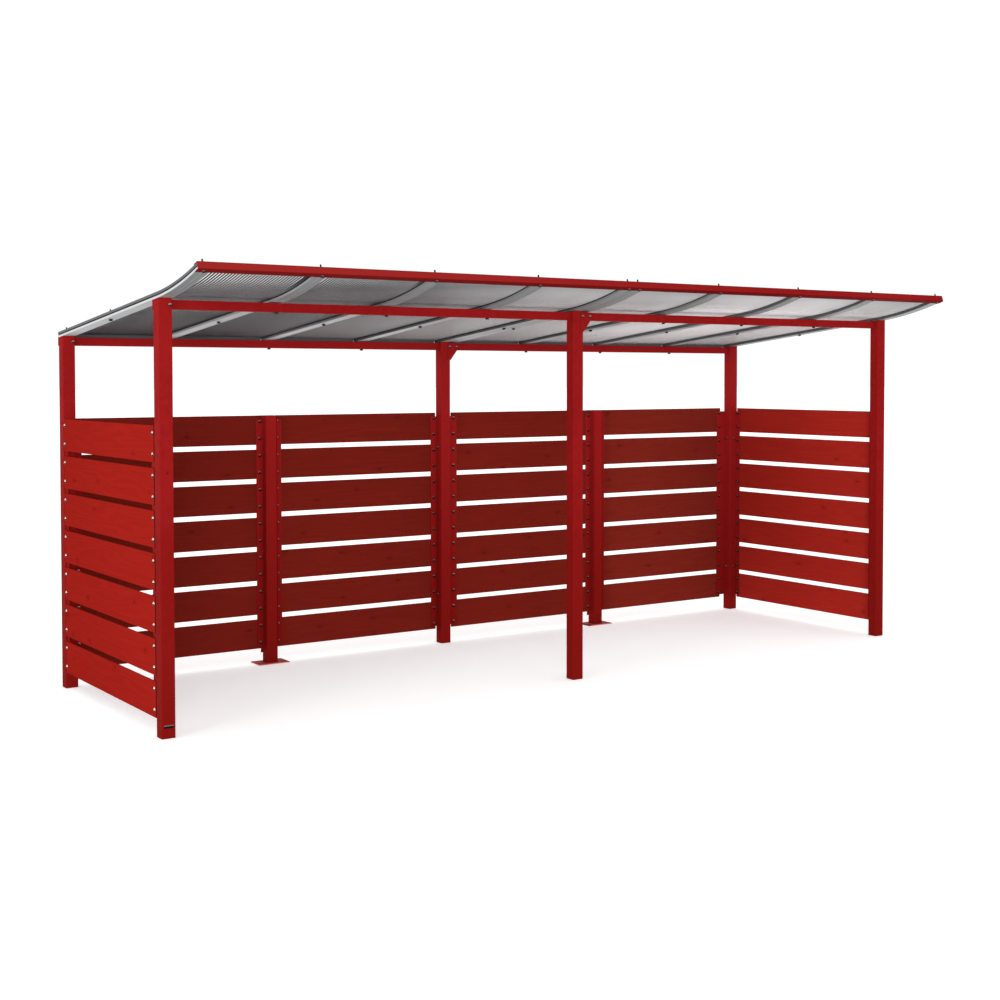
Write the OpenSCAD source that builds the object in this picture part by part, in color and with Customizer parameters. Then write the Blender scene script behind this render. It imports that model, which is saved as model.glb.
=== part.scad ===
// Bike shelter: two lean-to modules of square steel tube side by side, with slatted board walls on three
// sides and a glazed roof whose front turns up. Millimetres, +X along the length, +Y to the back wall,
// +Z up. The origin is on the ground under the middle of the whole shelter.

/* [Frame] */
// Length of one module, over its beams and roof
module_l = 2540; // [2200:10:2900]
// Front to back distance between the post centre lines
depth = 1458; // [1200:1:1700]
// Outside width of the square post tube
post_w = 70; // [60:1:90]
// Wall thickness of the post tube
post_wall = 3; // [2:0.5:5]
// Outside corner radius of the post tube
post_r = 4.5; // [2:0.5:8]
// Height of the top of the front beam above the ground
front_top = 2125; // [2000:1:2400]
// Height of the top of the back beam above the ground
back_top = 1974; // [1850:1:2200]
// Height of the beam tube
beam_h = 46; // [40:1:60]
// Width of the beam tube, front to back
beam_w = 50; // [40:1:60]
// Wall thickness of the beam tube
beam_wall = 2.5; // [2:0.5:4]
// Distance that the beams stand out behind the posts' rear faces
beam_proud = 10; // [5:1:20]

/* [Roof] */
// Radius of the upturned front part, at its top
roof_r = 2400; // [1500:10:3000]
// Overhang of the roof in front of the front post centres, at its top
front_overhang = 512; // [300:1:700]
// Overhang of the roof behind the back post centres, at its top
back_overhang = 52; // [40:1:120]
// Width of a glazing bar
bar_w = 68; // [50:1:70]
// Thickness of a glazing bar
bar_h = 11; // [8:1:20]
// Thickness of the rubber gasket on a bar
gasket_h = 8; // [4:0.5:10]
// Thickness of the twin-wall sheet
sheet_t = 10; // [8:1:16]
// Thickness of the cover strip over a bar
cover_h = 2; // [1:0.5:8]
// Width of a cover strip
cover_w = 60; // [40:1:66]
// Width of a gasket
gasket_w = 64; // [40:1:66]
// Distance from a module's middle bar to its next bars
inner_bar_x = 636; // [500:1:700]
// Wall thickness of the front edge channel
edge_wall = 3; // [2:0.5:5]
// Depth of the front edge channel along the roof
edge_d = 39; // [30:1:70]

/* [Walls] */
// Number of boards in a panel
boards = 7; // [3:1:9]
// Height of a board
board_h = 179.5; // [120:0.5:200]
// Gap between two boards
board_gap = 28.5; // [10:0.5:35]
// Thickness of a board
board_t = 8; // [6:0.5:20]
// Height of the lowest board's lower edge above the ground
board_z = 90; // [60:1:150]
// Gap between a board's end and the post
end_gap = 8; // [3:0.5:12]
// Leg width of the steel angles at the left end of a panel, seen from the front
angle_w = 50; // [40:1:60]
// Leg width of the steel angles at the right end of a panel
angle_end_w = 45.5; // [40:0.5:60]
// Thickness of the angles
angle_t = 4; // [3:0.5:6]
// Distance that the angles stop short of the panel's top
angle_short = 24; // [0:1:36]
// Height of the angles' lower end above the panel's bottom
angle_lift = 18; // [0:1:36]
// Extra width of the right module's bays at the tall posts, filled by wider angles
bay_extra = 35; // [20:1:50]
// Distance that the side panels' angles sit nearer to the back posts
side_shift = 4.5; // [0:0.5:6]

/* [Short posts] */
// Distance of the short posts behind the line of the tall back posts
short_back = 15; // [0:1:20]
// Length of the base plate
plate_l = 200; // [180:1:260]
// Width of the base plate
plate_w = 130; // [110:1:160]
// Thickness of the base plate
plate_t = 6; // [5:1:12]
// Radius of an anchor hole
anchor_r = 6.5; // [4:0.5:9]
// Distance between the two anchor holes of a plate
anchor_gap = 140; // [120:1:160]
// Width of the flat strip down the back of a short post
strip_w = 90; // [80:1:120]
// Thickness of that strip
strip_t = 4; // [3:0.5:6]
// Height of that strip's lower end
strip_z = 60; // [40:1:85]

/* [Details] */
// Length of the slot near the foot of the front left post
slot_l = 48; // [30:1:50]
// Height of that slot
slot_h = 18; // [10:1:24]
// Height of the slot's middle above the ground
slot_z = 56; // [40:1:90]
// Reach of the joint bracket beside the middle post
bracket_l = 52; // [40:1:80]
// Drop of the joint bracket below the beam
bracket_drop = 65; // [40:1:100]
// Thickness of the joint bracket
bracket_t = 3; // [2:0.5:6]

/* [Hidden] */
$fn = 48;
half_w = post_w / 2;
roof_slope = atan((front_top - back_top) / depth);
stack_h = bar_h + gasket_h + sheet_t + cover_h;
under_r = roof_r + stack_h;
// The bars rest on the beams' rear top edges
beam_rear = half_w + beam_proud;
beam_front = beam_rear - beam_w;
under_z = front_top + tan(roof_slope) * beam_rear;
head_gap = 0.5;
arc_y = under_r * sin(roof_slope);
arc_z = under_z + under_r * cos(roof_slope);
tip_slope = asin((arc_y + front_overhang) / roof_r);
edge_gap = 0.5;
edge_h = stack_h + 2 * (edge_wall + edge_gap);
// Corner of the front edge channel that reaches furthest forward
lip_y = arc_y - (under_r + edge_gap + edge_wall) * sin(tip_slope)
    - (edge_gap + edge_wall) * cos(tip_slope);
back_y = depth + back_overhang;
// The base plates reach further back than the roof does
plate_y = depth + short_back + plate_w / 2;
mid_y = (lip_y + plate_y) / 2;
wall_h = boards * board_h + (boards - 1) * board_gap;
wall_top = board_z + wall_h;
// Post centres along the length: the right module starts at the middle posts' right faces
left_x = -module_l + half_w;
middle_x = -half_w;
right_x = module_l - half_w;
short_left_x = (left_x + middle_x) / 2;
short_right_x = (middle_x + right_x) / 2;
// The boards' outer faces are flush with the tall posts
board_y = depth + half_w - board_t;
short_y = depth + short_back;
end_bar_x = (module_l - bar_w) / 2 - 2;
bar_offsets = [-end_bar_x, -inner_bar_x, 0, inner_bar_x, end_bar_x];
sheet_gap = 10;
trim_w = 2;
arc_steps = 24;
// Length of the roof's straight part, from the front beam to the back eave
straight_l = (back_y - stack_h * sin(roof_slope)) / cos(roof_slope);

// Moves what is drawn with the front posts on y = 0 to its place over the origin
module placed() {
    translate([0, -mid_y, 0]) children();
}

module rounded_square(width, radius) {
    square([width, width - 2 * radius], center = true);
    square([width - 2 * radius, width], center = true);
    for (sx = [-1, 1], sy = [-1, 1])
        translate([sx, sy] * (width / 2 - radius)) circle(r = radius);
}

// Square tube standing on the ground
module post_tube(height) {
    linear_extrude(height) difference() {
        rounded_square(post_w, post_r);
        rounded_square(post_w - 2 * post_wall, post_r - post_wall);
    }
}

// Tall post: its head is cut to the slope of the bars and notched behind for the beam
module cut_post(top) {
    difference() {
        post_tube(top + 20);
        translate([0, 0, top + tan(roof_slope) * beam_rear - head_gap]) rotate([-roof_slope, 0, 0])
            translate([-post_w, -post_w, 0]) cube([2 * post_w, 2 * post_w, 60]);
        translate([-half_w - 1, beam_front, top - beam_h]) cube([post_w + 2, post_w, 2 * beam_h]);
    }
}

module tall_post(x, y, top) {
    color("firebrick") placed() translate([x, y, 0]) cut_post(top);
}

module post_front_left() {
    color("firebrick") placed() difference() {
        translate([left_x, 0, 0]) cut_post(front_top);
        translate([left_x - slot_l / 2, -half_w - 1, slot_z - slot_h / 2])
            cube([slot_l, post_wall + 2, slot_h]);
    }
}

// Short post between two tall ones, on its base plate and with a strip down its back
module short_post(x) {
    color("firebrick") placed() translate([x, short_y, 0]) {
        post_tube(wall_top);
        translate([-strip_w / 2, half_w, strip_z]) cube([strip_w, strip_t, wall_top - strip_z]);
        difference() {
            translate([-plate_l / 2, -plate_w / 2, 0]) cube([plate_l, plate_w, plate_t]);
            for (side = [-1, 1])
                translate([side * anchor_gap / 2, 0, -1]) cylinder(h = plate_t + 2, r = anchor_r);
        }
    }
}

// Box tube from x0 to x1 that lies in the notches of a row of posts
module beam(x0, x1, y, top) {
    color("firebrick") placed() translate([x0, y + beam_front, top - beam_h]) difference() {
        cube([x1 - x0, beam_w, beam_h]);
        translate([-1, beam_wall, beam_wall])
            cube([x1 - x0 + 2, beam_w - 2 * beam_wall, beam_h - 2 * beam_wall]);
    }
}

// Bracket that ties the right beam to the middle post in front, and a flat splice plate behind
module bracket_pair(y, top) {
    translate([0, y - half_w, top]) {
        rotate([90, 0, 0]) linear_extrude(bracket_t)
            polygon([
                [-20, 0], [bracket_l, 0], [bracket_l, -beam_h],
                [2, -beam_h - bracket_drop], [-20, -beam_h - bracket_drop]
            ]);
        translate([3, 0, -beam_h]) cube([bracket_l - 3, half_w + beam_front, beam_h]);
    }
    translate([-half_w, y + beam_rear, top - beam_h]) cube([half_w + bracket_l, bracket_t, beam_h]);
}

module joint_brackets() {
    color("firebrick") placed() {
        bracket_pair(0, front_top);
        bracket_pair(depth, back_top);
    }
}

// Line along the roof at a height over the bars' underside: from the back eave, then up to the tip
function roof_line(height) = let (r = under_r - height) concat(
    [[-r * sin(roof_slope) + straight_l * cos(roof_slope), -r * cos(roof_slope) - straight_l * sin(roof_slope)]],
    [
        for (i = [0:arc_steps])
            let (a = roof_slope + (tip_slope - roof_slope) * i / arc_steps) [-r * sin(a), -r * cos(a)]
    ]
);
function reversed(line) = [for (i = [len(line) - 1:-1:0]) line[i]];

// Side outline of a roof layer between two heights over the bars' underside
module roof_layer(low, high) {
    translate([arc_y, arc_z]) polygon(concat(roof_line(low), reversed(roof_line(high))));
}

// Roof layer drawn from x0 to x1
module roof_strip(x0, x1, low, high) {
    translate([x0, 0, 0]) rotate([90, 0, 90]) linear_extrude(x1 - x0) roof_layer(low, high);
}

function bar_x(n) = (n <= 5 ? -1 : 1) * module_l / 2 + bar_offsets[(n - 1) % 5];
function sheet_bar(n) = n <= 4 ? n : n + 1;

// A bar at the end of a module has its outer side at the left (-1) or the right (1); the others have none
function outer_side(n) = [-1, 0, 0, 0, 1][(n - 1) % 5];

module glazing_bar(n) {
    color("silver") placed() roof_strip(bar_x(n) - bar_w / 2, bar_x(n) + bar_w / 2, 0, bar_h);
}

module gaskets() {
    color("black") placed() for (n = [1:10])
        roof_strip(bar_x(n) - gasket_w / 2, bar_x(n) + gasket_w / 2, bar_h, bar_h + gasket_h);
}

// Edge of a sheet on a bar: side is -1 for the sheet's left edge and 1 for its right edge
function sheet_edge(n, side) =
    outer_side(n) == side ? bar_x(n) + side * (bar_w / 2 - trim_w) : bar_x(n) - side * sheet_gap / 2;

module roof_sheet(n) {
    first = sheet_bar(n);
    base = bar_h + gasket_h;
    color("gray", 0.6) placed()
        roof_strip(sheet_edge(first, -1), sheet_edge(first + 1, 1), base, base + sheet_t);
}

// Flat strip over each bar; at the ends of a module a trim leg covers the sheet's edge
module cover_strips() {
    base = bar_h + gasket_h;
    color("dimgray") placed() for (n = [1:10]) {
        side = outer_side(n);
        edge = bar_x(n) + side * bar_w / 2;
        start = side < 0 ? edge : side > 0 ? edge - cover_w : bar_x(n) - cover_w / 2;
        roof_strip(start, start + cover_w, base + sheet_t, base + sheet_t + cover_h);
        if (side != 0) roof_strip(min(edge, edge - side * trim_w), max(edge, edge - side * trim_w), base, base + sheet_t);
    }
}

// Channel that takes the front ends of the bars and sheets between its flanges
module front_edge_channel() {
    color("firebrick") placed() translate([-module_l, arc_y, arc_z]) rotate([90, 0, 90])
        linear_extrude(2 * module_l) rotate(-tip_slope) translate([0, -under_r - edge_gap - edge_wall])
            difference() {
                translate([-edge_gap - edge_wall, 0]) square([edge_d, edge_h]);
                translate([-edge_gap, edge_wall]) square([edge_d, edge_h - 2 * edge_wall]);
            }
}

// Boards of one panel, from 0 to length along X, their outer faces on y = board_t
module board_panel(length) {
    for (i = [0:boards - 1])
        translate([end_gap, 0, board_z + i * (board_h + board_gap)])
            cube([length - 2 * end_gap, board_t, board_h]);
}

// Two angles of one panel: a leg on each post and a leg of the given width along the boards' inner face
module angle_pair(length, start_w, end_w) {
    height = wall_h - angle_short - angle_lift;
    for (side = [0, 1]) {
        w = side == 0 ? start_w : end_w;
        translate([side * length, 0, board_z + angle_lift]) mirror([side, 0, 0])
            linear_extrude(height) polygon([
                [0, 0], [w, 0], [w, -angle_t], [angle_t, -angle_t], [angle_t, -angle_w], [0, -angle_w]
            ]);
    }
}

// Post faces at the two sides of each bay of the back wall
function bay_start(n) = [left_x, short_left_x, middle_x, short_right_x][n - 1] + half_w;
function bay_end(n) = [short_left_x, middle_x, short_right_x, right_x][n - 1] - half_w;

// All back boards are of one length, so the wider bays of the right module have some width left over
function extra_start(n) = n == 3 ? bay_extra : 0;
function extra_end(n) = n == 4 ? bay_extra : 0;

module back_boards(n) {
    color("brown") placed() translate([bay_start(n) + extra_start(n), board_y, 0])
        board_panel(bay_end(n) - extra_end(n) - bay_start(n) - extra_start(n));
}

// Angles of a module's two back bays
module back_angles(first_bay) {
    color("firebrick") placed() for (n = [first_bay, first_bay + 1])
        translate([bay_start(n), board_y, 0])
            angle_pair(bay_end(n) - bay_start(n), extra_start(n) + angle_w, extra_end(n) + angle_end_w);
}

// Turns a panel drawn along X to run along Y at the left or right end
module at_side(side) {
    translate([side * (module_l - board_t), side < 0 ? half_w : depth - half_w, 0])
        rotate(side < 0 ? 90 : -90) children();
}

module left_boards() {
    color("brown") placed() at_side(-1) board_panel(depth - post_w);
}

module right_boards() {
    color("brown") placed() at_side(1) board_panel(depth - post_w);
}

module left_angles() {
    color("firebrick") placed() at_side(-1)
        angle_pair(depth - post_w, angle_w + side_shift, angle_end_w - side_shift);
}

module right_angles() {
    color("firebrick") placed() at_side(1)
        angle_pair(depth - post_w, angle_end_w - side_shift, angle_w + side_shift);
}

post_front_left();
tall_post(middle_x, 0, front_top);  // post_front_middle
tall_post(right_x, 0, front_top);  // post_front_right
tall_post(left_x, depth, back_top);  // post_back_left
tall_post(middle_x, depth, back_top);  // post_back_middle
tall_post(right_x, depth, back_top);  // post_back_right
short_post(short_left_x);  // short_post_left
short_post(short_right_x);  // short_post_right
beam(-module_l, 0, 0, front_top);  // front_beam_left
beam(0, module_l, 0, front_top);  // front_beam_right
beam(-module_l, 0, depth, back_top);  // back_beam_left
beam(0, module_l, depth, back_top);  // back_beam_right
joint_brackets();
front_edge_channel();
for (n = [1:10]) glazing_bar(n);
for (n = [1:8]) roof_sheet(n);
gaskets();
cover_strips();
for (n = [1:4]) back_boards(n);
left_boards();
right_boards();
back_angles(1);  // back_angles_left
back_angles(3);  // back_angles_right
left_angles();
right_angles();
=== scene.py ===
"""Bike shelter of two modules: red steel frame, slatted board walls and a glazed roof turned up in front.

Metres, +X along the length, +Y to the back wall, +Z up, the origin on the ground under the middle.
"""

import math
import random

import bmesh
import bpy
from mathutils import Matrix, Vector


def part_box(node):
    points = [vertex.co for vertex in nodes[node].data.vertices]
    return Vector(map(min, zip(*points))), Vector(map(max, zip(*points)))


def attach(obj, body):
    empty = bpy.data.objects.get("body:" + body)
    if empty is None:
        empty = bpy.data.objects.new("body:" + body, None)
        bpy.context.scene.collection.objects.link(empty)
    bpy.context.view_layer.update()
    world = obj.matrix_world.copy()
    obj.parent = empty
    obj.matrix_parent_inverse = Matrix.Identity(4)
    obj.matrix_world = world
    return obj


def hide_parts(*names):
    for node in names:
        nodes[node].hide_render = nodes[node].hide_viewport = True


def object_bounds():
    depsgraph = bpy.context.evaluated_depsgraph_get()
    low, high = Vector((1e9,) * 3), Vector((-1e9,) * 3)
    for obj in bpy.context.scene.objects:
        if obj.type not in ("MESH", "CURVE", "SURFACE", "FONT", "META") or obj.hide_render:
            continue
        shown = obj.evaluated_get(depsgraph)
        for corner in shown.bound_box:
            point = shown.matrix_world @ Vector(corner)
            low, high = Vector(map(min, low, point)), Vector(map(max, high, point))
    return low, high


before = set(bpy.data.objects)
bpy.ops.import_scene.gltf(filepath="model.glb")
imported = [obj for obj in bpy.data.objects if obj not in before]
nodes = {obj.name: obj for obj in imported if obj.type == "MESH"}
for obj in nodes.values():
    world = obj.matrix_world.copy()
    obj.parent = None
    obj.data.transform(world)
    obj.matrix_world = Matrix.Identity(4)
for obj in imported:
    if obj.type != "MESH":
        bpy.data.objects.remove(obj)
cad_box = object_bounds()
scene = bpy.context.scene

# ---------------------------------------------------------------------------------------------------------
# Camera: stands in front of the left end at eye height and looks along the length at an angle, nearly
# level, so that the posts stay upright and the roof shows its underside.

camera_data = bpy.data.cameras.new("camera")
camera_data.sensor_width = 36
camera_data.lens = 53.949
camera_data.shift_x = -0.04168
camera_data.shift_y = -0.07319
camera = bpy.data.objects.new("camera", camera_data)
camera.location = (-5.18486, -7.47327, 1.75283)
camera.rotation_euler = (math.radians(90 - 1.9104), 0, math.radians(-35.2037))
scene.collection.objects.link(camera)
scene.camera = camera
scene.view_settings.view_transform = "Standard"


# ---------------------------------------------------------------------------------------------------------
# Studio: a wide pale floor that glows a little, under an even white surround. Two large soft boxes stand
# low and far off, one in front and one on the left.


class Wire:
    """One socket among a material's nodes. Arithmetic on it adds Math nodes."""

    def __init__(self, tree, socket=None):
        self.tree, self.socket = tree, socket

    def node(self, kind, settings=None, values=None, output=0):
        """Adds a node: its settings first, then the values or wires of its sockets."""
        made = self.tree.nodes.new("ShaderNode" + kind)
        for name, value in (settings or {}).items():
            if name == "stops":
                ramp = made.color_ramp.elements
                while len(ramp) < len(value):
                    ramp.new(0.5)
                for stop, (place, colour) in zip(ramp, value):
                    stop.position, stop.color = place, (*colour, 1)
            else:
                setattr(made, name, value)
        for key, value in (values or {}).items():
            if isinstance(value, Wire):
                self.tree.links.new(value.socket, made.inputs[key])
            else:
                made.inputs[key].default_value = value
        return Wire(self.tree, made.outputs[output])

    def maths(self, operation, *terms):
        """A Math node on wires and numbers."""
        return self.node("Math", {"operation": operation}, dict(enumerate(terms)))

    def __add__(self, other):
        return self.maths("ADD", self, other)

    __radd__ = __add__

    def __sub__(self, other):
        return self.maths("SUBTRACT", self, other)

    def __rsub__(self, other):
        return self.maths("SUBTRACT", other, self)

    def __mul__(self, other):
        return self.maths("MULTIPLY", self, other)

    __rmul__ = __mul__

    def ramp(self, low, high, start=0.0, end=1.0):
        """start at low, end at high, with a smooth change between."""
        return self.node(
            "MapRange",
            {"interpolation_type": "SMOOTHSTEP"},
            {"Value": self, 1: low, 2: high, 3: start, 4: end},
        )

    def blend(self, first, second):
        """The colour first where this is 0, and second where it is 1."""
        colours = [c if isinstance(c, Wire) else (*c, 1) for c in (first, second)]
        return self.node(
            "Mix", {"data_type": "RGBA"}, {0: self, 6: colours[0], 7: colours[1]}, output=2
        )

    def stretched(self, scale):
        """This vector times a scale for each axis."""
        return self.node("VectorMath", {"operation": "MULTIPLY"}, {0: self, 1: scale})

    def noise(self, scale, detail=2.0, roughness=0.5):
        """Cloudy noise over this vector, about 0.5 on average."""
        values = {"Vector": self, "Scale": scale, "Detail": detail, "Roughness": roughness}
        return self.node("TexNoise", None, values)

    def axis(self, number):
        """This vector's X, Y or Z for 0, 1 or 2."""
        return self.node("SeparateXYZ", None, {0: self}, output=number)


world = bpy.data.worlds.new("studio")
world.use_nodes = True
surround = world.node_tree.nodes["Background"]
surround.inputs["Color"].default_value = (1, 1, 1, 1)
surround.inputs["Strength"].default_value = 1.02
scene.world = world


def soft_box(name, place, target, size, power):
    """A square lamp that faces a target."""
    lamp = bpy.data.lights.new(name, "AREA")
    lamp.shape, lamp.size, lamp.energy = "SQUARE", size, power
    holder = bpy.data.objects.new(name, lamp)
    holder.location = place
    holder.rotation_euler = (Vector(target) - Vector(place)).to_track_quat("-Z", "Y").to_euler()
    scene.collection.objects.link(holder)


soft_box("key", (-11.0, -19.0, 2.9), (0, 0, 1.0), 5.0, 1600)
soft_box("side", (-20.0, -9.0, 3.0), (0, 0, 1.0), 5.0, 1350)


def mesh_data(name, mesh):
    """Turns a finished bmesh into mesh data."""
    data = bpy.data.meshes.new(name)
    mesh.to_mesh(data)
    mesh.free()
    return data


floor_mesh = bmesh.new()
bmesh.ops.create_grid(floor_mesh, x_segments=1, y_segments=1, size=200)
floor_data = mesh_data("floor", floor_mesh)
floor = bpy.data.objects.new("floor", floor_data)
# Just below the feet, so that it lies in none of their faces
floor.location.z = -0.002
scene.collection.objects.link(floor)
floor_finish = bpy.data.materials.new("floor")
floor_finish.use_nodes = True
floor_shader = floor_finish.node_tree.nodes["Principled BSDF"]
floor_shader.inputs["Base Color"].default_value = (0.80, 0.80, 0.80, 1)
floor_shader.inputs["Roughness"].default_value = 0.9
floor_shader.inputs["Specular IOR Level"].default_value = 0.0
floor_shader.inputs["Emission Color"].default_value = (1, 1, 1, 1)
floor_shader.inputs["Emission Strength"].default_value = 0.42
floor_data.materials.append(floor_finish)

# ---------------------------------------------------------------------------------------------------------
# Frame: square steel tube posts, box tube beams, angles and plates, all powder coated red after welding.
# The coat has a fine orange peel and is a little duller where it has weathered. Painted light makes it
# paler at the back and painted shade darker near the ground. A pale painted highlight lies on the base
# plates.


def new_finish(name):
    """An empty material: gives it, its shader, and a wire to its object coordinates."""
    made = bpy.data.materials.new(name)
    made.use_nodes = True
    shader = made.node_tree.nodes["Principled BSDF"]
    start = Wire(made.node_tree).node("TexCoord", output=3)
    return made, shader, start


def feed(shader, **wires):
    """Links or sets the shader's sockets by name, with _ for a space."""
    for name, value in wires.items():
        socket = shader.inputs[name.replace("_", " ")]
        if isinstance(value, Wire):
            value.tree.links.new(value.socket, socket)
        else:
            socket.default_value = value


def bumped(height, strength, distance):
    """A wire for the shader's normal from a height from 0 to 1."""
    return height.node("Bump", None, {"Height": height, "Strength": strength, "Distance": distance})


def powder_coat(name, change_colour):
    """Red powder coat; change_colour gets its colour and the coordinates, and gives the colour to use."""
    made, shader, place = new_finish(name)
    mottled = place.noise(38.0, 3.0)
    peel = place.noise(520.0, 1.0)
    weathered = (place.noise(1.7, 3.0) * 0.6 + mottled * 0.4).ramp(0.35, 0.65)
    red = weathered.blend((0.185, 0.0056, 0.0060), (0.225, 0.0078, 0.0080))
    feed(
        shader,
        Base_Color=change_colour(red, place),
        Roughness=weathered.ramp(0.0, 1.0, 0.50, 0.42),
        Normal=bumped(peel * 0.6 + mottled * 0.4, 0.10, 0.0006),
        Specular_IOR_Level=0.004,
    )
    return made


# Both short posts stand about this far from the middle of the shelter
SHORT_POST_X = 1.27
PLATE_TOP = 0.006


def frame_tones(colour, place):
    """Paler at the back with painted light, darker near the ground with painted shade, and with a painted
    highlight on the short posts' base plates.
    """
    # Painted light: paler towards the back, making up for the shade there under the roof
    rear = place.axis(1).ramp(0.55, 0.90) * place.axis(0).ramp(-2.45, -2.20, 0.15, 1.0)
    # Painted shade: the coat darkens towards the ground
    painted_shade_near_ground = place.axis(2).ramp(0.0, 1.6, 1.0, 0.0)
    colour = rear.blend(colour, (0.245, 0.0088, 0.0092))
    colour = (painted_shade_near_ground * 0.8).blend(colour, (0.138, 0.0045, 0.0030))
    # Painted highlight: the tops of the short posts' base plates are paler, as where light from above
    # falls
    from_short_post = place.maths("ABSOLUTE", place.maths("ABSOLUTE", place.axis(0)) - SHORT_POST_X)
    on_plate = from_short_post.ramp(0.11, 0.13, 1.0, 0.0)
    dust_and_highlight = place.axis(2).ramp(PLATE_TOP - 0.0008, PLATE_TOP + 0.0006, 1.0, 0.0) * on_plate
    return dust_and_highlight.blend(colour, (0.52, 0.115, 0.100))


def coat_node(name, finish):
    """Gives a finish to the frame's own object of that name."""
    materials = nodes[name].data.materials
    materials.clear()
    materials.append(finish)


red_coat = powder_coat("red_coat", frame_tones)
STEEL_NODES = [
    "post_front_left", "post_front_middle", "post_front_right",
    "post_back_left", "post_back_middle", "post_back_right",
    "short_post_left", "short_post_right",
    "front_beam_left", "front_beam_right", "back_beam_left", "back_beam_right",
    "joint_brackets",
    "back_angles_left", "back_angles_right", "left_angles", "right_angles",
]
for name in STEEL_NODES:
    coat_node(name, red_coat)


def add_piece(name, mesh, *finishes, smooth=None, slot=None):
    """Puts a finished bmesh in the scene as a piece on the only body; smooth is its sharpest soft edge."""
    data = mesh_data(name, mesh)
    for finish in finishes:
        data.materials.append(finish)
    if smooth is not None:
        data.shade_smooth()
        data.set_sharp_from_angle(angle=math.radians(smooth))
    piece = bpy.data.objects.new(name, data)
    scene.collection.objects.link(piece)
    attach(piece, "root")
    return piece


def add_block(mesh, low, high, edge=0.0, segments=1):
    """A box between two corners, with its edges rounded where edge is given."""
    low, high = Vector(low), Vector(high)
    made = bmesh.ops.create_cube(mesh, size=1)["verts"]
    bmesh.ops.scale(mesh, vec=high - low, verts=made)
    bmesh.ops.translate(mesh, vec=(low + high) / 2, verts=made)
    if edge:
        edges = list({e for v in made for e in v.link_edges})
        bmesh.ops.bevel(
            mesh, geom=edges, offset=edge, offset_type="OFFSET", segments=segments,
            profile=0.5, affect="EDGES", material=-1,
        )


def box_middle(name):
    """The middle of a node's box."""
    low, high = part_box(name)
    return (low + high) / 2


# ---------------------------------------------------------------------------------------------------------
# Closing plates: flat steel welded into the open ends of the beams and into the heads of the short posts,
# coated with the rest. Weld beads run round the short posts' feet.

PLATE = 0.002
BEAM_INSET = 0.0005
HEAD_INSET = 0.001
# The plates reach a tenth of a millimetre into the tubes' walls
BEAM_WALL = 0.0024
POST_WALL = 0.0029
POST_HALF = 0.035
SHORT_POSTS = ("short_post_left", "short_post_right")
plates = bmesh.new()
for name in ("front_beam_left", "front_beam_right", "back_beam_left", "back_beam_right"):
    low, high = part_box(name)
    for x in (low.x + BEAM_INSET, high.x - PLATE - BEAM_INSET):
        add_block(
            plates,
            (x, low.y + BEAM_WALL, low.z + BEAM_WALL),
            (x + PLATE, high.y - BEAM_WALL, high.z - BEAM_WALL),
        )
for name in SHORT_POSTS:
    middle, top = box_middle(name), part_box(name)[1].z - HEAD_INSET
    inside = POST_HALF - POST_WALL
    add_block(
        plates,
        (middle.x - inside, middle.y - inside, top - PLATE),
        (middle.x + inside, middle.y + inside, top),
    )
add_piece("end_plates", plates, red_coat, slot="red_steel")

BEAD = 0.003
BEADS = 15
BEAD_PITCH = 0.0046
beads = bmesh.new()
dice = random.Random(7)
for name in SHORT_POSTS:
    middle = box_middle(name)
    middle.z = PLATE_TOP
    for side in range(4):
        turn = Matrix.Rotation(math.pi / 2 * side, 4, "Z")
        for step in range(BEADS):
            along = -POST_HALF + BEAD + BEAD_PITCH * step
            centre = middle + turn @ Vector((along, -POST_HALF, 0))
            made = bmesh.ops.create_icosphere(beads, subdivisions=1, radius=BEAD)["verts"]
            swell = dice.uniform(0.85, 1.15)
            shape = turn @ Matrix.Diagonal((1.1, swell, swell, 1))
            bmesh.ops.transform(beads, matrix=Matrix.Translation(centre) @ shape, verts=made)
add_piece("foot_welds", beads, red_coat, smooth=60, slot="red_steel")

# ---------------------------------------------------------------------------------------------------------
# Slot: a level cut near the foot of the front left post. It has a grey plastic lip above and a red sill
# below, and behind it a black sheet is painted shade for the dark inside of the tube. A rubber plug fills
# a bolt hole higher up the post.


def black_rubber(name, choose_colour):
    """Matt rubber; choose_colour gets how dusty it is and the coordinates, and gives the colour."""
    made, shader, place = new_finish(name)
    dusty = place.noise(60.0, 3.0)
    feed(
        shader,
        Base_Color=choose_colour(dusty.ramp(0.4, 0.7), place),
        Roughness=dusty.ramp(0.3, 0.7, 0.62, 0.80),
        Normal=bumped(place.noise(900.0, 1.0), 0.15, 0.0003),
        Specular_IOR_Level=0.1,
    )
    return made


def clean_rubber(dust_and_highlight, place):
    """Black, with next to no dust."""
    return dust_and_highlight.blend((0.003, 0.003, 0.003), (0.007, 0.007, 0.008))


rubber = black_rubber("rubber", clean_rubber)
grey_plastic, shader, place = new_finish("grey_plastic")
feed(
    shader,
    Base_Color=place.noise(80.0, 2.0).blend((0.085, 0.070, 0.070), (0.115, 0.097, 0.097)),
    Roughness=place.noise(200.0, 2.0).ramp(0.3, 0.7, 0.45, 0.58),
    Normal=bumped(place.noise(1200.0, 1.0), 0.1, 0.0002),
)


def slot_part(name, half, front, back, bottom, top, finish, slot=None):
    """A block round the slot's middle, from front to back behind the post's front face."""
    mesh = bmesh.new()
    add_block(mesh, (slot_x - half, face_y + front, bottom), (slot_x + half, face_y + back, top), 0.0005)
    add_piece(name, mesh, finish, slot=slot)


slot_x = box_middle("post_front_left").x
face_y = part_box("post_front_left")[0].y
SLOT_HALF, SLOT_LOW, SLOT_HIGH = 0.024, 0.047, 0.065
LIP, SILL = 0.0045, 0.0028
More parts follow.
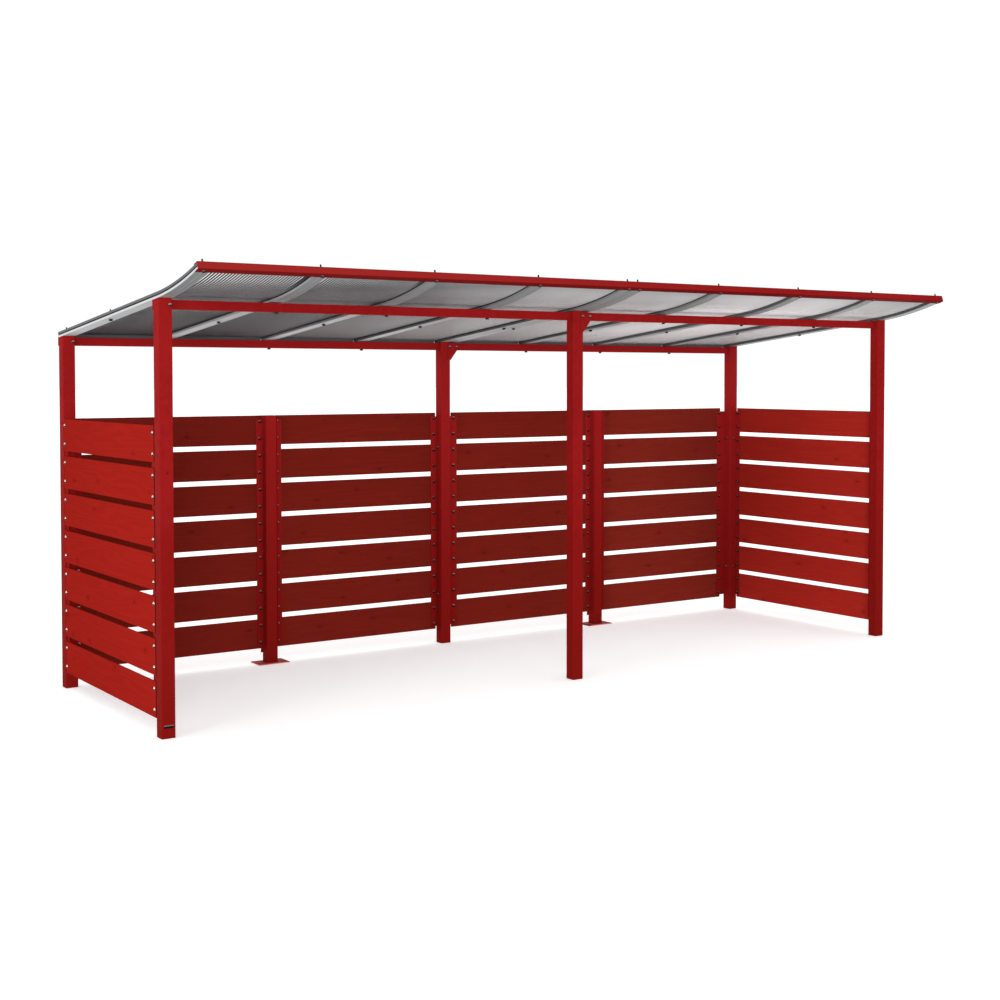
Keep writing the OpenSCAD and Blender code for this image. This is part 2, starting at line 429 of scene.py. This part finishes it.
# Painted shade: a black sheet where only the shade inside the tube would be
slot_part("slot_shade_sheet", 0.031, 0.010, 0.012, SLOT_LOW - 0.006, SLOT_HIGH + 0.006, rubber)
slot_part("slot_lip", SLOT_HALF, -0.0006, 0.0040, SLOT_HIGH - LIP, SLOT_HIGH, grey_plastic)
slot_part("slot_sill", SLOT_HALF, 0.0002, 0.0040, SLOT_LOW, SLOT_LOW + SILL, red_coat, slot="red_steel")

PLUG_DEPTH = 0.0016
PLUG_HEIGHT = 1.287
plug = bmesh.new()
made = bmesh.ops.create_cone(
    plug, cap_ends=True, cap_tris=False, segments=12, radius1=0.0042, radius2=0.0036, depth=PLUG_DEPTH
)["verts"]
bmesh.ops.rotate(plug, matrix=Matrix.Rotation(math.pi / 2, 3, "X"), verts=made)
bmesh.ops.translate(plug, vec=(slot_x + 0.002, face_y - 0.0006, PLUG_HEIGHT), verts=made)
add_piece("hole_plug", plug, rubber)

# ---------------------------------------------------------------------------------------------------------
# Boards: stained softwood, 180 mm wide, seven to a panel, with eased edges. The stain lets the grain and
# the knots show, and no two boards have the same grain. The back wall's boards are darker with painted
# shade: the end walls' stain, darkened for the roof's shade over them.

BOARDS = 7
BOARD_HEIGHT = 0.1795
BOARD_PITCH = 0.208
EASED_EDGE = 0.0018
# How much paler and less red the stain is towards the right end
PALER_AT_RIGHT = (1.17, 1.45, 1.45)


def stained_wood(name, early, late):
    """Red-stained softwood: the colours of its early and its late wood; knots and blotches are darker."""
    made, shader, place = new_finish(name)
    grain_place = place.node("UVMap", {"uv_map": "grain"})
    wavy = grain_place.stretched((1.1, 7.0, 1.0)).noise(1.0, 2.0)
    streaks = grain_place.stretched((2.2, 95.0, 1.0)).noise(1.0, 4.0, 0.62)
    pores = grain_place.stretched((14.0, 620.0, 1.0)).noise(1.0, 2.0)
    ring_turn = grain_place.axis(1) * 190.0 + wavy * 52.0
    ring_lines = place.maths("SINE", ring_turn).ramp(-1.0, 1.0)
    cells = {"voronoi_dimensions": "2D"}
    knot_places = {"Vector": grain_place.stretched((2.7, 6.2, 1.0)), "Scale": 1.0, "Randomness": 0.9}
    knot_gap = place.node("TexVoronoi", cells, knot_places)
    knot_kind = place.node("TexVoronoi", cells, knot_places, output=1)
    is_knot = knot_kind.axis(0).ramp(0.50, 0.60)
    knots = knot_gap.ramp(0.020, 0.060, 1.0, 0.0) * is_knot
    halo = knot_gap.ramp(0.04, 0.16, 1.0, 0.0) * is_knot
    late_wood = (streaks.ramp(0.30, 0.70) * 0.62 + ring_lines * 0.38).ramp(0.15, 0.90)
    tone = place.noise(0.9, 1.0)
    paler_colours = [[k * channel for k, channel in zip(PALER_AT_RIGHT, colour)] for colour in (early, late)]
    red = place.axis(0).ramp(0.2, 2.4).blend(late_wood.blend(early, late), late_wood.blend(*paler_colours))
    red = (tone.ramp(0.35, 0.65) * 0.3).blend(red, [0.92 * channel for channel in early])
    red = (halo * 0.25).blend(red, [0.70 * channel for channel in early])
    red = (knots * 0.45).blend(red, [0.35 * channel for channel in early])
    feed(
        shader,
        Base_Color=red,
        Roughness=late_wood.ramp(0.0, 1.0, 0.62, 0.48),
        Normal=bumped(late_wood * 0.6 + pores * 0.4 - knots * 0.4, 0.15, 0.0006),
        Specular_IOR_Level=0.0,
    )
    return made


# Painted shade: the back wall's boards take the end walls' stain made darker, for the roof's shade over
# them
shaded_back_wood = stained_wood("stained_back_shaded", (0.134, 0.0100, 0.0062), (0.152, 0.0116, 0.0071))
end_wood = stained_wood("stained_ends", (0.228, 0.0098, 0.0066), (0.258, 0.0113, 0.0075))
# Dark end grain, made darker still by painted shade for the gap between the boards' ends and the posts
end_grain_and_shade, shader, place = new_finish("end_grain_and_shade")
fibres = place.noise(700.0, 2.0)
feed(
    shader,
    Base_Color=fibres.ramp(0.35, 0.65).blend((0.026, 0.0040, 0.0022), (0.060, 0.0075, 0.0040)),
    Roughness=fibres.ramp(0.3, 0.7, 0.75, 0.88),
    Normal=bumped(fibres, 0.2, 0.0004),
    Specular_IOR_Level=0.0,
)

PANELS = (
    # Node, the axis along its boards, the way out of the shelter, the posts at its two ends
    ("back_boards_1", 0, 1, "post_back_left", "short_post_left"),
    ("back_boards_2", 0, 1, "short_post_left", "post_back_middle"),
    ("back_boards_3", 0, 1, "post_back_middle", "short_post_right"),
    ("back_boards_4", 0, 1, "short_post_right", "post_back_right"),
    ("left_boards", 1, -1, "post_front_left", "post_back_left"),
    ("right_boards", 1, 1, "post_front_right", "post_back_right"),
)


def board_panel(name, along):
    """Seven boards in the box of a panel's node, with their grain along axis 0 (X) or 1 (Y)."""
    low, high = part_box(name)
    mesh = bmesh.new()
    for number in range(BOARDS):
        base = low.z + number * BOARD_PITCH
        top = base + BOARD_HEIGHT
        add_block(mesh, (low.x, low.y, base), (high.x, high.y, top), EASED_EDGE, segments=2)
    mesh.normal_update()
    grain = mesh.loops.layers.uv.new("grain")
    dice = random.Random(name)
    starts = [(dice.uniform(0, 40), dice.uniform(0, 9)) for _ in range(BOARDS)]
    for face in mesh.faces:
        number = min(BOARDS - 1, int((face.calc_center_median().z - low.z) / BOARD_PITCH))
        start_u, start_v = starts[number]
        for loop in face.loops:
            point = loop.vert.co
            across = point.z - low.z + (point[1 - along] - low[1 - along])
            loop[grain].uv = (point[along] + start_u, across + start_v)
        face.material_index = int(abs(face.normal[along]) > 0.9)
    wood = shaded_back_wood if name.startswith("back") else end_wood
    piece = add_piece("wall_" + name, mesh, wood, end_grain_and_shade, smooth=40, slot="boards")
    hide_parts(name)


for name, along, *_ in PANELS:
    board_panel(name, along)

# ---------------------------------------------------------------------------------------------------------
# Board bolts: round-headed zinc-plated bolts through board and angle, two at each end of each board, with
# their heads and washers outside and dome nuts inside. Plain bolts hold the angles to the tall posts.


def zinc_plated(name, low, high, dull, bright):
    """Zinc plating with painted shade for a dark reflection on a fastener's underside up to low, and bare
    on its top from high.
    """
    made, shader, place = new_finish(name)
    spangle = place.noise(300.0, 2.0)
    rise = place.node("UVMap", {"uv_map": "rise"}).axis(0)
    plating = spangle.ramp(0.35, 0.65).blend(dull, bright)
    feed(
        shader,
        # Painted shade: the underside is dark as if it reflected a dark floor
        Base_Color=rise.ramp(low, high).blend((0.014, 0.012, 0.011), plating),
        Roughness=spangle.ramp(0.3, 0.7, 0.24, 0.40),
        Normal=bumped(place.noise(1500.0, 1.0), 0.08, 0.0002),
        Metallic=1.0,
    )
    return made


zinc = zinc_plated("zinc", -0.30, 0.50, (0.27, 0.25, 0.22), (0.40, 0.37, 0.33))
head_zinc = zinc_plated("head_zinc", -0.10, 0.25, (0.66, 0.64, 0.57), (0.84, 0.81, 0.72))
nut_zinc = zinc_plated("nut_zinc", 0.00, 0.70, (0.26, 0.26, 0.24), (0.38, 0.37, 0.34))


def turned(name, outline, segments=12):
    """A solid of revolution about Z from its outline of (radius, height) points, as a pattern mesh."""
    mesh = bmesh.new()
    points = [mesh.verts.new((radius, 0, height)) for radius, height in outline]
    edges = [mesh.edges.new(pair) for pair in zip(points, points[1:])]
    bmesh.ops.spin(
        mesh, geom=points + edges, cent=(0, 0, 0), axis=(0, 0, 1), dvec=(0, 0, 0),
        angle=2 * math.pi, steps=segments, use_merge=True, use_duplicate=False,
    )
    bmesh.ops.remove_doubles(mesh, verts=mesh.verts, dist=1e-6)
    bmesh.ops.recalc_face_normals(mesh, faces=mesh.faces)
    return mesh_data(name, mesh)


# Less than any step on a fastener
HAIR = 1e-5


def six_sided(name, across, height, washer, washer_height, stud=0.0, stud_radius=0.004):
    """A hexagon nut or head on a washer, with a stud's end through it where stud is given."""
    mesh = bmesh.new()
    radius = across / math.sqrt(3)
    for size, low, high, sides in (
        (washer, 0.0, washer_height, 14),
        (radius, washer_height, washer_height + height, 6),
        (stud_radius, washer_height + height, washer_height + height + stud, 8),
    ):
        depth = high - low
        if depth < HAIR:
            continue
        made = bmesh.ops.create_cone(
            mesh, cap_ends=True, cap_tris=False, segments=sides, radius1=size, radius2=size, depth=depth
        )["verts"]
        bmesh.ops.translate(mesh, vec=(0, 0, (low + high) / 2), verts=made)
        edges = {e for v in made for e in v.link_edges}
        rim = [e for e in edges if all(v.co.z > high - HAIR for v in e.verts)]
        bmesh.ops.bevel(
            mesh, geom=rim, offset=min(0.0008, depth * 0.3), offset_type="OFFSET", segments=1,
            profile=0.5, affect="EDGES", material=-1,
        )
    return mesh_data(name, mesh)


HEAD = turned(
    "round_head",
    [
        (0, 0), (0.0105, 0), (0.0105, 0.0012), (0.0082, 0.0014), (0.0074, 0.0034), (0.0046, 0.0052),
        (0, 0.0058),
    ],
)
DOME_NUT = turned(
    "dome_nut",
    [
        (0, 0), (0.0100, 0), (0.0100, 0.0014), (0.0076, 0.0014), (0.0076, 0.0060), (0.0065, 0.0094),
        (0.0038, 0.0122), (0, 0.0132),
    ],
    segments=10,
)


def facing(direction):
    """Turns +Z to a direction."""
    return Vector(direction).to_track_quat("Z", "Y").to_matrix().to_4x4()


def put(mesh, pattern, place, direction):
    """Adds a pattern mesh with its foot at a place and its axis along a direction.

    The UV map rise runs from -1 at the fastener's underside to 1 at its top.
    """
    rise = mesh.loops.layers.uv.get("rise") or mesh.loops.layers.uv.new("rise")
    old_verts, old_faces = len(mesh.verts), len(mesh.faces)
    mesh.from_mesh(pattern)
    mesh.verts.ensure_lookup_table()
    mesh.faces.ensure_lookup_table()
    moved = mesh.verts[old_verts:]
    bmesh.ops.transform(mesh, matrix=Matrix.Translation(Vector(place)) @ facing(direction), verts=moved)
    heights = [v.co.z for v in moved]
    middle, half = (max(heights) + min(heights)) / 2, (max(heights) - min(heights)) / 2
    for face in mesh.faces[old_faces:]:
        for loop in face.loops:
            loop[rise].uv = ((loop.vert.co.z - middle) / half, 0)


FROM_END = 0.015
LEG_MIDDLE = 0.025
ANGLE_STEEL = 0.004
BOLT_OFFSET = 0.052
ANGLE_BOLT_HEIGHTS = (0.323, 1.290)
SMALL_HEX = six_sided("small_hex", 0.013, 0.0055, 0.0095, 0.0014)
heads = bmesh.new()
nuts = bmesh.new()
angle_bolts = bmesh.new()
for name, along, out, start_post, end_post in PANELS:
    low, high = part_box(name)
    across = 1 - along
    outer, inner = (high, low) if out > 0 else (low, high)
    outward = Vector((0, 0, 0))
    outward[across] = out
    point = Vector((0, 0, 0))
    for end in (low[along] + FROM_END, high[along] - FROM_END):
        point[along] = end
        for number in range(BOARDS):
            for side in (-1, 1):
                point.z = low.z + number * BOARD_PITCH + BOARD_HEIGHT / 2 + side * BOLT_OFFSET
                point[across] = outer[across]
                put(heads, HEAD, point, outward)
                point[across] = inner[across] - out * ANGLE_STEEL
                put(nuts, DOME_NUT, point, -outward)
    for post, way in ((start_post, 1), (end_post, -1)):
        if post.startswith("short"):
            continue
        direction = Vector((0, 0, 0))
        direction[along] = way
        point[along] = box_middle(post)[along] + way * (POST_HALF + ANGLE_STEEL)
        point[across] = inner[across] - out * LEG_MIDDLE
        for point.z in ANGLE_BOLT_HEIGHTS:
            put(angle_bolts, SMALL_HEX, point, direction)
add_piece("board_bolt_heads", heads, head_zinc, smooth=35)
add_piece("board_bolt_nuts", nuts, nut_zinc, smooth=35)
add_piece("angle_bolts", angle_bolts, zinc, smooth=30)

# ---------------------------------------------------------------------------------------------------------
# Beam bolts: zinc-plated hexagon heads in the left posts' front faces, in the joint brackets and the
# splice plates behind them, and on the outer faces of the right-hand posts.

BRACKET = 0.003
BOLT_DROP = 0.002
FRONT_BOLT = 0.0235
BRACKET_BOLTS = (0.029, 0.079)
SIDE_BOLTS = (0.012, -0.016)
SIDE_BOLT_BACK = 0.018
SPLICE_BOLTS = (-0.022, 0.022, 0.070)
HEX = six_sided("hex_head", 0.013, 0.0055, 0.0085, 0.0016)
beam_bolts = bmesh.new()
for row in ("front", "back"):
    middle_z = box_middle(f"{row}_beam_left").z
    rear_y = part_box(f"{row}_beam_left")[1].y
    left = box_middle(f"post_{row}_left")
    middle = box_middle(f"post_{row}_middle")
    right = box_middle(f"post_{row}_right")
    front_y = left.y - POST_HALF
    put(beam_bolts, HEX, (left.x + FRONT_BOLT, front_y, middle_z - BOLT_DROP), (0, -1, 0))
    for offset in BRACKET_BOLTS:
        place = (middle.x + offset, front_y - BRACKET, middle_z - BOLT_DROP)
        put(beam_bolts, HEX, place, (0, -1, 0))
    for offset in SIDE_BOLTS:
        place = (right.x + POST_HALF, front_y + SIDE_BOLT_BACK, middle_z + offset)
        put(beam_bolts, HEX, place, (1, 0, 0))
    for offset in SPLICE_BOLTS:
        put(beam_bolts, HEX, (middle.x + offset, rear_y + BRACKET, middle_z), (0, 1, 0))
add_piece("beam_bolts", beam_bolts, zinc, smooth=30)

# ---------------------------------------------------------------------------------------------------------
# Roof line: every roof layer runs straight up from the back eave to the front beam and then turns up on
# one arc to the front edge. The layers are swept along it.

front_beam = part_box("front_beam_left")
back_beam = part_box("back_beam_left")
depth = back_beam[1].y - front_beam[1].y
slope = math.atan((front_beam[1].z - back_beam[1].z) / depth)


def roof_up(angle=slope):
    """The way out of the roof's top at an angle of the arc."""
    return Vector((0, math.sin(angle), math.cos(angle)))


STACK = 0.031
ROOF_RADIUS = 2.4
FRONT_OVERHANG = 0.512
BACK_OVERHANG = 0.052
under_radius = ROOF_RADIUS + STACK
post_line = box_middle("post_front_left").y
under_height = front_beam[1].z + math.tan(slope) * (front_beam[1].y - post_line)
arc_middle = Vector((0, post_line, under_height)) + under_radius * roof_up()
tip_slope = math.asin((arc_middle.y - post_line + FRONT_OVERHANG) / ROOF_RADIUS)
straight = (depth + BACK_OVERHANG - STACK * math.sin(slope)) / math.cos(slope)
ARC_STEPS = 24
downhill = Vector((0, math.cos(slope), -math.sin(slope)))


def on_roof(x, height, angle=slope, back=0.0):
    """A point at a height over the bars' underside: at an angle of the arc, or back down the slope."""
    radius = under_radius - height
    point = arc_middle - radius * roof_up(angle) + back * downhill
    return Vector((x, point.y, point.z))


def sweep_roof(mesh, outlines, material=0):
    """Sweeps closed outlines of (x, height) points from the back eave along the roof line to the tip."""
    ends = []
    for outline in outlines:
        corners = [mesh.verts.new(on_roof(x, height, back=straight)) for x, height in outline]
        ends.append(mesh.faces.new(corners))
        ends[-1].material_index = material
    slide = Matrix.Translation(-straight * downhill)
    turn = Matrix.Translation(arc_middle) @ Matrix.Rotation(-(tip_slope - slope) / ARC_STEPS, 4, "X")
    turn = turn @ Matrix.Translation(-arc_middle)
    for move in [slide] + [turn] * ARC_STEPS:
        made = bmesh.ops.extrude_face_region(mesh, geom=ends)["geom"]
        ends = [g for g in made if isinstance(g, bmesh.types.BMFace)]
        moved = [g for g in made if isinstance(g, bmesh.types.BMVert)]
        bmesh.ops.transform(mesh, matrix=move, verts=moved)


# ---------------------------------------------------------------------------------------------------------
# Front edge channel: folded steel with the frame's red coat, bolted over the tips of bars and sheets.
# Painted shade darkens its lower flange and the fold along its top.

EDGE_WALL = 0.003
EDGE_GAP = 0.0005
tip_up = roof_up(tip_slope)
tip_height = on_roof(0, 0, tip_slope).dot(tip_up)


def channel_tones(colour, place):
    """Paler at the left end, with painted shade on the flange and along the top fold."""
    height = place.axis(1) * tip_up.y + place.axis(2) * tip_up.z - tip_height
    # Painted shade on the downward flange and in the top fold
    flange = height.ramp(-0.0010, 0.0010, 1.0, 0.0)
    fold = height.ramp(STACK - 0.0010, STACK + 0.0015)
    colour = place.axis(0).ramp(-2.7, 1.8, 1.0, 0.0).blend(colour, (0.218, 0.0132, 0.0122))
    return (flange * 0.54 + fold * 0.45).blend(colour, (0.040, 0.0012, 0.0012))


coat_node("front_edge_channel", powder_coat("channel_coat", channel_tones))

# ---------------------------------------------------------------------------------------------------------
# Glazing bars: drawn aluminium sections, mill finish, with shallow grooves along their underside. Each is
# bent over the arc and bolted to both beams and to the front edge channel.


def drawn_metal(name, change_colour):
    """Mill-finish aluminium with its draw lines; change_colour gets its colour and the coordinates."""
    made, shader, place = new_finish(name)
    drawn = place.stretched((420.0, 1.5, 420.0)).noise(1.0, 2.0)
    clouds = place.stretched((6.0, 1.2, 6.0)).noise(1.0, 2.0)
    grey = (drawn * 0.6 + clouds * 0.4).ramp(0.35, 0.65).blend((0.40, 0.42, 0.43), (0.56, 0.59, 0.60))
    feed(
        shader,
        Base_Color=change_colour(grey, place),
        Roughness=drawn.ramp(0.3, 0.7, 0.42, 0.55),
        Normal=bumped(drawn, 0.12, 0.0003),
        Metallic=0.5,
    )
    return made


def underside_tones(colour, place):
    """Painted shade: darker towards the right and in the front curve, in place of darker reflections
    there.
    """
    far_end = place.axis(0).ramp(-1.2, 1.4)
    bent = place.axis(1).ramp(-0.62, -0.46, 1.0, 0.0)
    colour = (far_end * 0.75).blend(colour, (0.17, 0.18, 0.185))
    return (bent * 0.85).blend(colour, far_end.blend((0.205, 0.235, 0.235), (0.27, 0.30, 0.30)))


def side_tones(colour, place):
    """Painted shade: pale on the left-hand bars, dark on the right-hand ones, less so in the front curve.
    """
    clean_and_unshaded = (0.50, 0.52, 0.53)
    bent = place.axis(1).ramp(-0.62, -0.46, 1.0, 0.0) * place.axis(0).ramp(0.2, 1.4, 1.0, 0.0)
    colour = place.axis(0).ramp(-2.6, -0.6).blend(clean_and_unshaded, (0.085, 0.090, 0.093))
    in_curve = place.axis(0).ramp(-2.4, -1.2).blend(clean_and_unshaded, (0.25, 0.27, 0.27))
    return (bent * 0.8).blend(colour, in_curve)


aluminium = drawn_metal("aluminium", underside_tones)
bar_side = drawn_metal("bar_side", side_tones)

BAR_HEIGHT = 0.011
GROOVES = (-0.024, -0.012, 0.012, 0.024)
GROOVE_HALF = 0.0012
GROOVE_DEEP = 0.0016
BARS = 10
for number in range(1, BARS + 1):
    low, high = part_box(f"glazing_bar_{number}")
    middle = (low.x + high.x) / 2
    outline = [(high.x, 0.0), (high.x, BAR_HEIGHT), (low.x, BAR_HEIGHT), (low.x, 0.0)]
    for groove in GROOVES:
        outline += [
            (middle + groove - GROOVE_HALF, 0.0), (middle + groove - GROOVE_HALF, GROOVE_DEEP),
            (middle + groove + GROOVE_HALF, GROOVE_DEEP), (middle + groove + GROOVE_HALF, 0.0),
        ]
    bar = bmesh.new()
    sweep_roof(bar, [outline])
    bmesh.ops.recalc_face_normals(bar, faces=bar.faces)
    for face in bar.faces:
        outside = abs(face.verts[0].co.x - middle) > GROOVES[-1] + GROOVE_HALF
        face.material_index = int(outside and abs(face.normal.x) > 0.9)
    piece = add_piece(f"bar_{number}", bar, aluminium, bar_side, smooth=30, slot="bar_metal")
    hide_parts(f"glazing_bar_{number}")

# ---------------------------------------------------------------------------------------------------------
# Gaskets and covers: a black rubber strip under the sheets' edges, and a dark anodised strip that clamps
# them from above. The outer covers have a leg down over the sheet's edge.


def gasket_tones(dust_and_highlight, place):
    """Black under a layer of dust that is paler towards the right."""
    layer = place.axis(0).ramp(-0.2, 1.6).blend((0.020, 0.020, 0.022), (0.105, 0.103, 0.105))
    return (dust_and_highlight * 0.4 + 0.6).blend((0.008, 0.008, 0.009), layer)


coat_node("gaskets", black_rubber("gasket_rubber", gasket_tones))


def dark_metal(name, stretch, dull, fresh):
    """Dark anodised metal with fine lines along its length."""
    made, shader, place = new_finish(name)
    lines = place.stretched(stretch).noise(1.0, 2.0)
    feed(
        shader,
        Base_Color=lines.ramp(0.3, 0.7).blend(dull, fresh),
        Roughness=lines.ramp(0.3, 0.7, 0.36, 0.48),
        Normal=bumped(lines, 0.1, 0.0003),
        Specular_IOR_Level=0.25,
    )
    return made


ALONG_Y = (300.0, 1.5, 300.0)
coat_node(
    "cover_strips", dark_metal("dark_trim", ALONG_Y, (0.050, 0.052, 0.054), (0.075, 0.077, 0.080))
)

# ---------------------------------------------------------------------------------------------------------
# Roof sheets: smoke-tinted twin-wall polycarbonate, 10 mm thick, bent cold over the arc. Two thin skins
# are held apart by ribs that run from front to back every 17 mm. The tint shows most in the ribs.

SHEET_BASE = 0.019
SHEET_THICK = 0.010
SKIN = 0.0014
RIB_HALF = 0.0013
RIB_PITCH = 0.0170
# Smoke tint along the roof from left to right, with painted light in it: dark at the left end, pale to the
# right
TINT_AND_PAINTED_LIGHT = [
    (0.06, (0.094, 0.090, 0.096)), (0.19, (0.112, 0.108, 0.113)), (0.32, (0.35, 0.34, 0.345)),
    (0.44, (0.54, 0.53, 0.535)), (0.57, (0.63, 0.62, 0.625)), (0.70, (0.87, 0.86, 0.865)),
    (0.82, (0.92, 0.91, 0.915)), (0.94, (0.73, 0.72, 0.725)),
]


def sheet_finish(name, tip_alpha, roof_alpha, tip_shade):
    """Smoke-tinted plastic with painted light, dark at the left end and pale to the right, and with
    painted shade towards the eave, at the tip and in the curve.

    tip_alpha is its alpha at the tip of the curve and roof_alpha behind it; tip_shade is how much painted
    shade darkens the tip.
    """
    made, shader, place = new_finish(name)
    ends = {1: cad_box[0][0], 2: cad_box[1][0], 3: 0.0, 4: 1.0}
    along = place.node("MapRange", None, {"Value": place.axis(0), **ends})
    tint_and_painted_light = place.node("ValToRGB", {"stops": TINT_AND_PAINTED_LIGHT}, {0: along})
    dust_and_highlight = place.stretched((5.0, 1.6, 5.0)).noise(1.0, 3.0).ramp(0.4, 0.75)
    left = place.axis(0).ramp(-1.5, -0.7, 1.0, 0.0)
    # Painted reflection: paler over the left-hand sheets where the curve starts
    painted_reflection = left * place.axis(1).ramp(-0.85, -0.62) * place.axis(1).ramp(-0.35, 0.25, 1.0, 0.0)
    tint_and_painted_light = painted_reflection.blend(tint_and_painted_light, (0.195, 0.189, 0.195))
    # Painted shade towards the eave, less on the left-hand sheets
    eave = place.axis(1).ramp(0.15, 0.95) * left.ramp(0.0, 1.0, 0.32, 0.10)
    # Painted shade at the tip, strongest on the left-hand sheets
    tip = place.axis(1).ramp(-0.98, -0.68, 1.0, 0.0)
    painted_shade_at_tip = tip * place.axis(0).ramp(-1.9, -0.3, tip_shade, 0.15 * tip_shade)
    # Painted shade in the curve of the right-hand sheets
    curve = place.axis(1).ramp(-0.78, -0.54, 1.0, 0.0) * place.axis(0).ramp(-1.3, 0.9, 0.0, 0.30)
    clean_and_unshaded = (1 - eave) * (1 - dust_and_highlight * 0.06) * (1 - painted_shade_at_tip) * (1 - curve)
    feed(
        shader,
        Base_Color=(1 - clean_and_unshaded).blend(tint_and_painted_light, (0.008, 0.007, 0.008)),
        Roughness=dust_and_highlight.ramp(0.0, 1.0, 0.34, 0.42),
        Alpha=place.axis(1).ramp(-0.84, -0.55, tip_alpha, roof_alpha),
        Specular_IOR_Level=0.02,
    )
    return made


skin_finish = sheet_finish("sheet_skin", 0.0, 0.32, 0.0)
web_finish = sheet_finish("sheet_web", 1.0, 1.0, 0.93)
SHEETS = 8
top = SHEET_BASE + SHEET_THICK
for number in range(1, SHEETS + 1):
    low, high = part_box(f"roof_sheet_{number}")
    sheet = bmesh.new()
    skins = [
        [(low.x, base), (high.x, base), (high.x, base + SKIN), (low.x, base + SKIN)]
        for base in (SHEET_BASE, top - SKIN)
    ]
    sweep_roof(sheet, skins)
    width = high.x - low.x
    count = int(width / RIB_PITCH) + 1
    first = low.x + (width - (count - 1) * RIB_PITCH) / 2
    webs = []
    for step in range(count):
        x = min(max(first + step * RIB_PITCH, low.x + RIB_HALF), high.x - RIB_HALF)
        webs.append([
            (x - RIB_HALF, SHEET_BASE + SKIN), (x + RIB_HALF, SHEET_BASE + SKIN),
            (x + RIB_HALF, top - SKIN), (x - RIB_HALF, top - SKIN),
        ])
    sweep_roof(sheet, webs, material=1)
    bmesh.ops.recalc_face_normals(sheet, faces=sheet.faces)
    piece = add_piece(f"sheet_{number}", sheet, skin_finish, web_finish, slot="sheet")
    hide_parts(f"roof_sheet_{number}")

# ---------------------------------------------------------------------------------------------------------
# Roof bolts: steel studs through each bar into both beams and the front channel, and one in the middle of
# the span. Nuts show below, and above all but the front beam a stud's end stands up from its nut. All are
# capped in black but the nuts under the channel, which are bare zinc plating.

dark_cap, shader, place = new_finish("dark_cap")
grime = place.noise(150.0, 2.0).ramp(0.35, 0.65)
feed(
    shader,
    Base_Color=grime.blend((0.004, 0.004, 0.004), (0.010, 0.010, 0.009)),
    Roughness=place.noise(300.0, 2.0).ramp(0.3, 0.7, 0.50, 0.65),
    Normal=bumped(place.noise(1500.0, 1.0), 0.08, 0.0002),
    Specular_IOR_Level=0.1,
)

STUD_NUT = six_sided("stud_nut", 0.012, 0.007, 0.0080, 0.0012, stud=0.013, stud_radius=0.0042)
UNDER_NUT = six_sided("under_nut", 0.017, 0.0080, 0.0095, 0.0012)
BEAM_NUT = six_sided("beam_nut", 0.017, 0.0075, 0.0095, 0.0012)
EDGE_NUT = six_sided("edge_nut", 0.014, 0.0065, 0.0085, 0.0012)
roof_bolts = bmesh.new()
edge_nuts = bmesh.new()
BEAM_NUT_IN = 0.013
STUD_FROM_EDGE = 0.020
stud_angle = tip_slope - STUD_FROM_EDGE / under_radius
middle_stud = 0.735 / math.cos(slope)
back_stud = depth / math.cos(slope)
for number in range(1, BARS + 1):
    x = box_middle(f"glazing_bar_{number}").x
    for beam in (front_beam, back_beam):
        put(roof_bolts, BEAM_NUT, (x, beam[0].y + BEAM_NUT_IN, beam[0].z), (0, 0, -1))
    for back in (middle_stud, back_stud):
        put(roof_bolts, STUD_NUT, on_roof(x, STACK, back=back), roof_up())
    put(roof_bolts, UNDER_NUT, on_roof(x, 0.0, back=middle_stud), -roof_up())
    put(edge_nuts, EDGE_NUT, on_roof(x, -EDGE_GAP - EDGE_WALL, stud_angle), -roof_up(stud_angle))
    put(roof_bolts, STUD_NUT, on_roof(x, STACK + EDGE_GAP + EDGE_WALL, stud_angle), roof_up(stud_angle))
add_piece("roof_bolts", roof_bolts, dark_cap, smooth=30)
add_piece("edge_nuts", edge_nuts, nut_zinc, smooth=30)

# ---------------------------------------------------------------------------------------------------------
# Eave closures: folded dark sheet metal over the rear end of each roof sheet. Its leg hangs down between
# the bars and shuts the gap over the back beam.

CLOSURE = 0.0012
CLOSURE_TOP = 0.0302
FOOT = 0.0005
FOOT_ON_BAR = 0.0118
BESIDE_BAR = 0.001
rear = straight + 0.0004
closures = bmesh.new()
for number in range(1, SHEETS + 1):
    low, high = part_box(f"roof_sheet_{number}")
    # Each module has four sheets on five bars
    first = number + (number - 1) // 4
    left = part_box(f"glazing_bar_{first}")[1].x + BESIDE_BAR
    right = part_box(f"glazing_bar_{first + 1}")[0].x - BESIDE_BAR
    for x0, x1, foot in ((left, right, FOOT), (low.x, left, FOOT_ON_BAR), (right, high.x, FOOT_ON_BAR)):
        outline = [
            on_roof(x0, foot, back=rear), on_roof(x0, foot, back=rear + CLOSURE),
            on_roof(x0, CLOSURE_TOP, back=rear + CLOSURE), on_roof(x0, CLOSURE_TOP, back=rear),
        ]
        face = closures.faces.new([closures.verts.new(point) for point in outline])
        made = bmesh.ops.extrude_face_region(closures, geom=[face])["geom"]
        moved = [g for g in made if isinstance(g, bmesh.types.BMVert)]
        bmesh.ops.translate(closures, vec=(x1 - x0, 0, 0), verts=moved)
bmesh.ops.recalc_face_normals(closures, faces=closures.faces)
ALONG_X = (1.5, 300.0, 300.0)
# Painted light: a paler copy of the dark trim, making up for the shade under the roof's eave
closure_metal_painted_light = dark_metal("closure_metal_painted_light", ALONG_X, (0.095, 0.095, 0.098), (0.130, 0.130, 0.134))
add_piece("eave_closures", closures, closure_metal_painted_light)
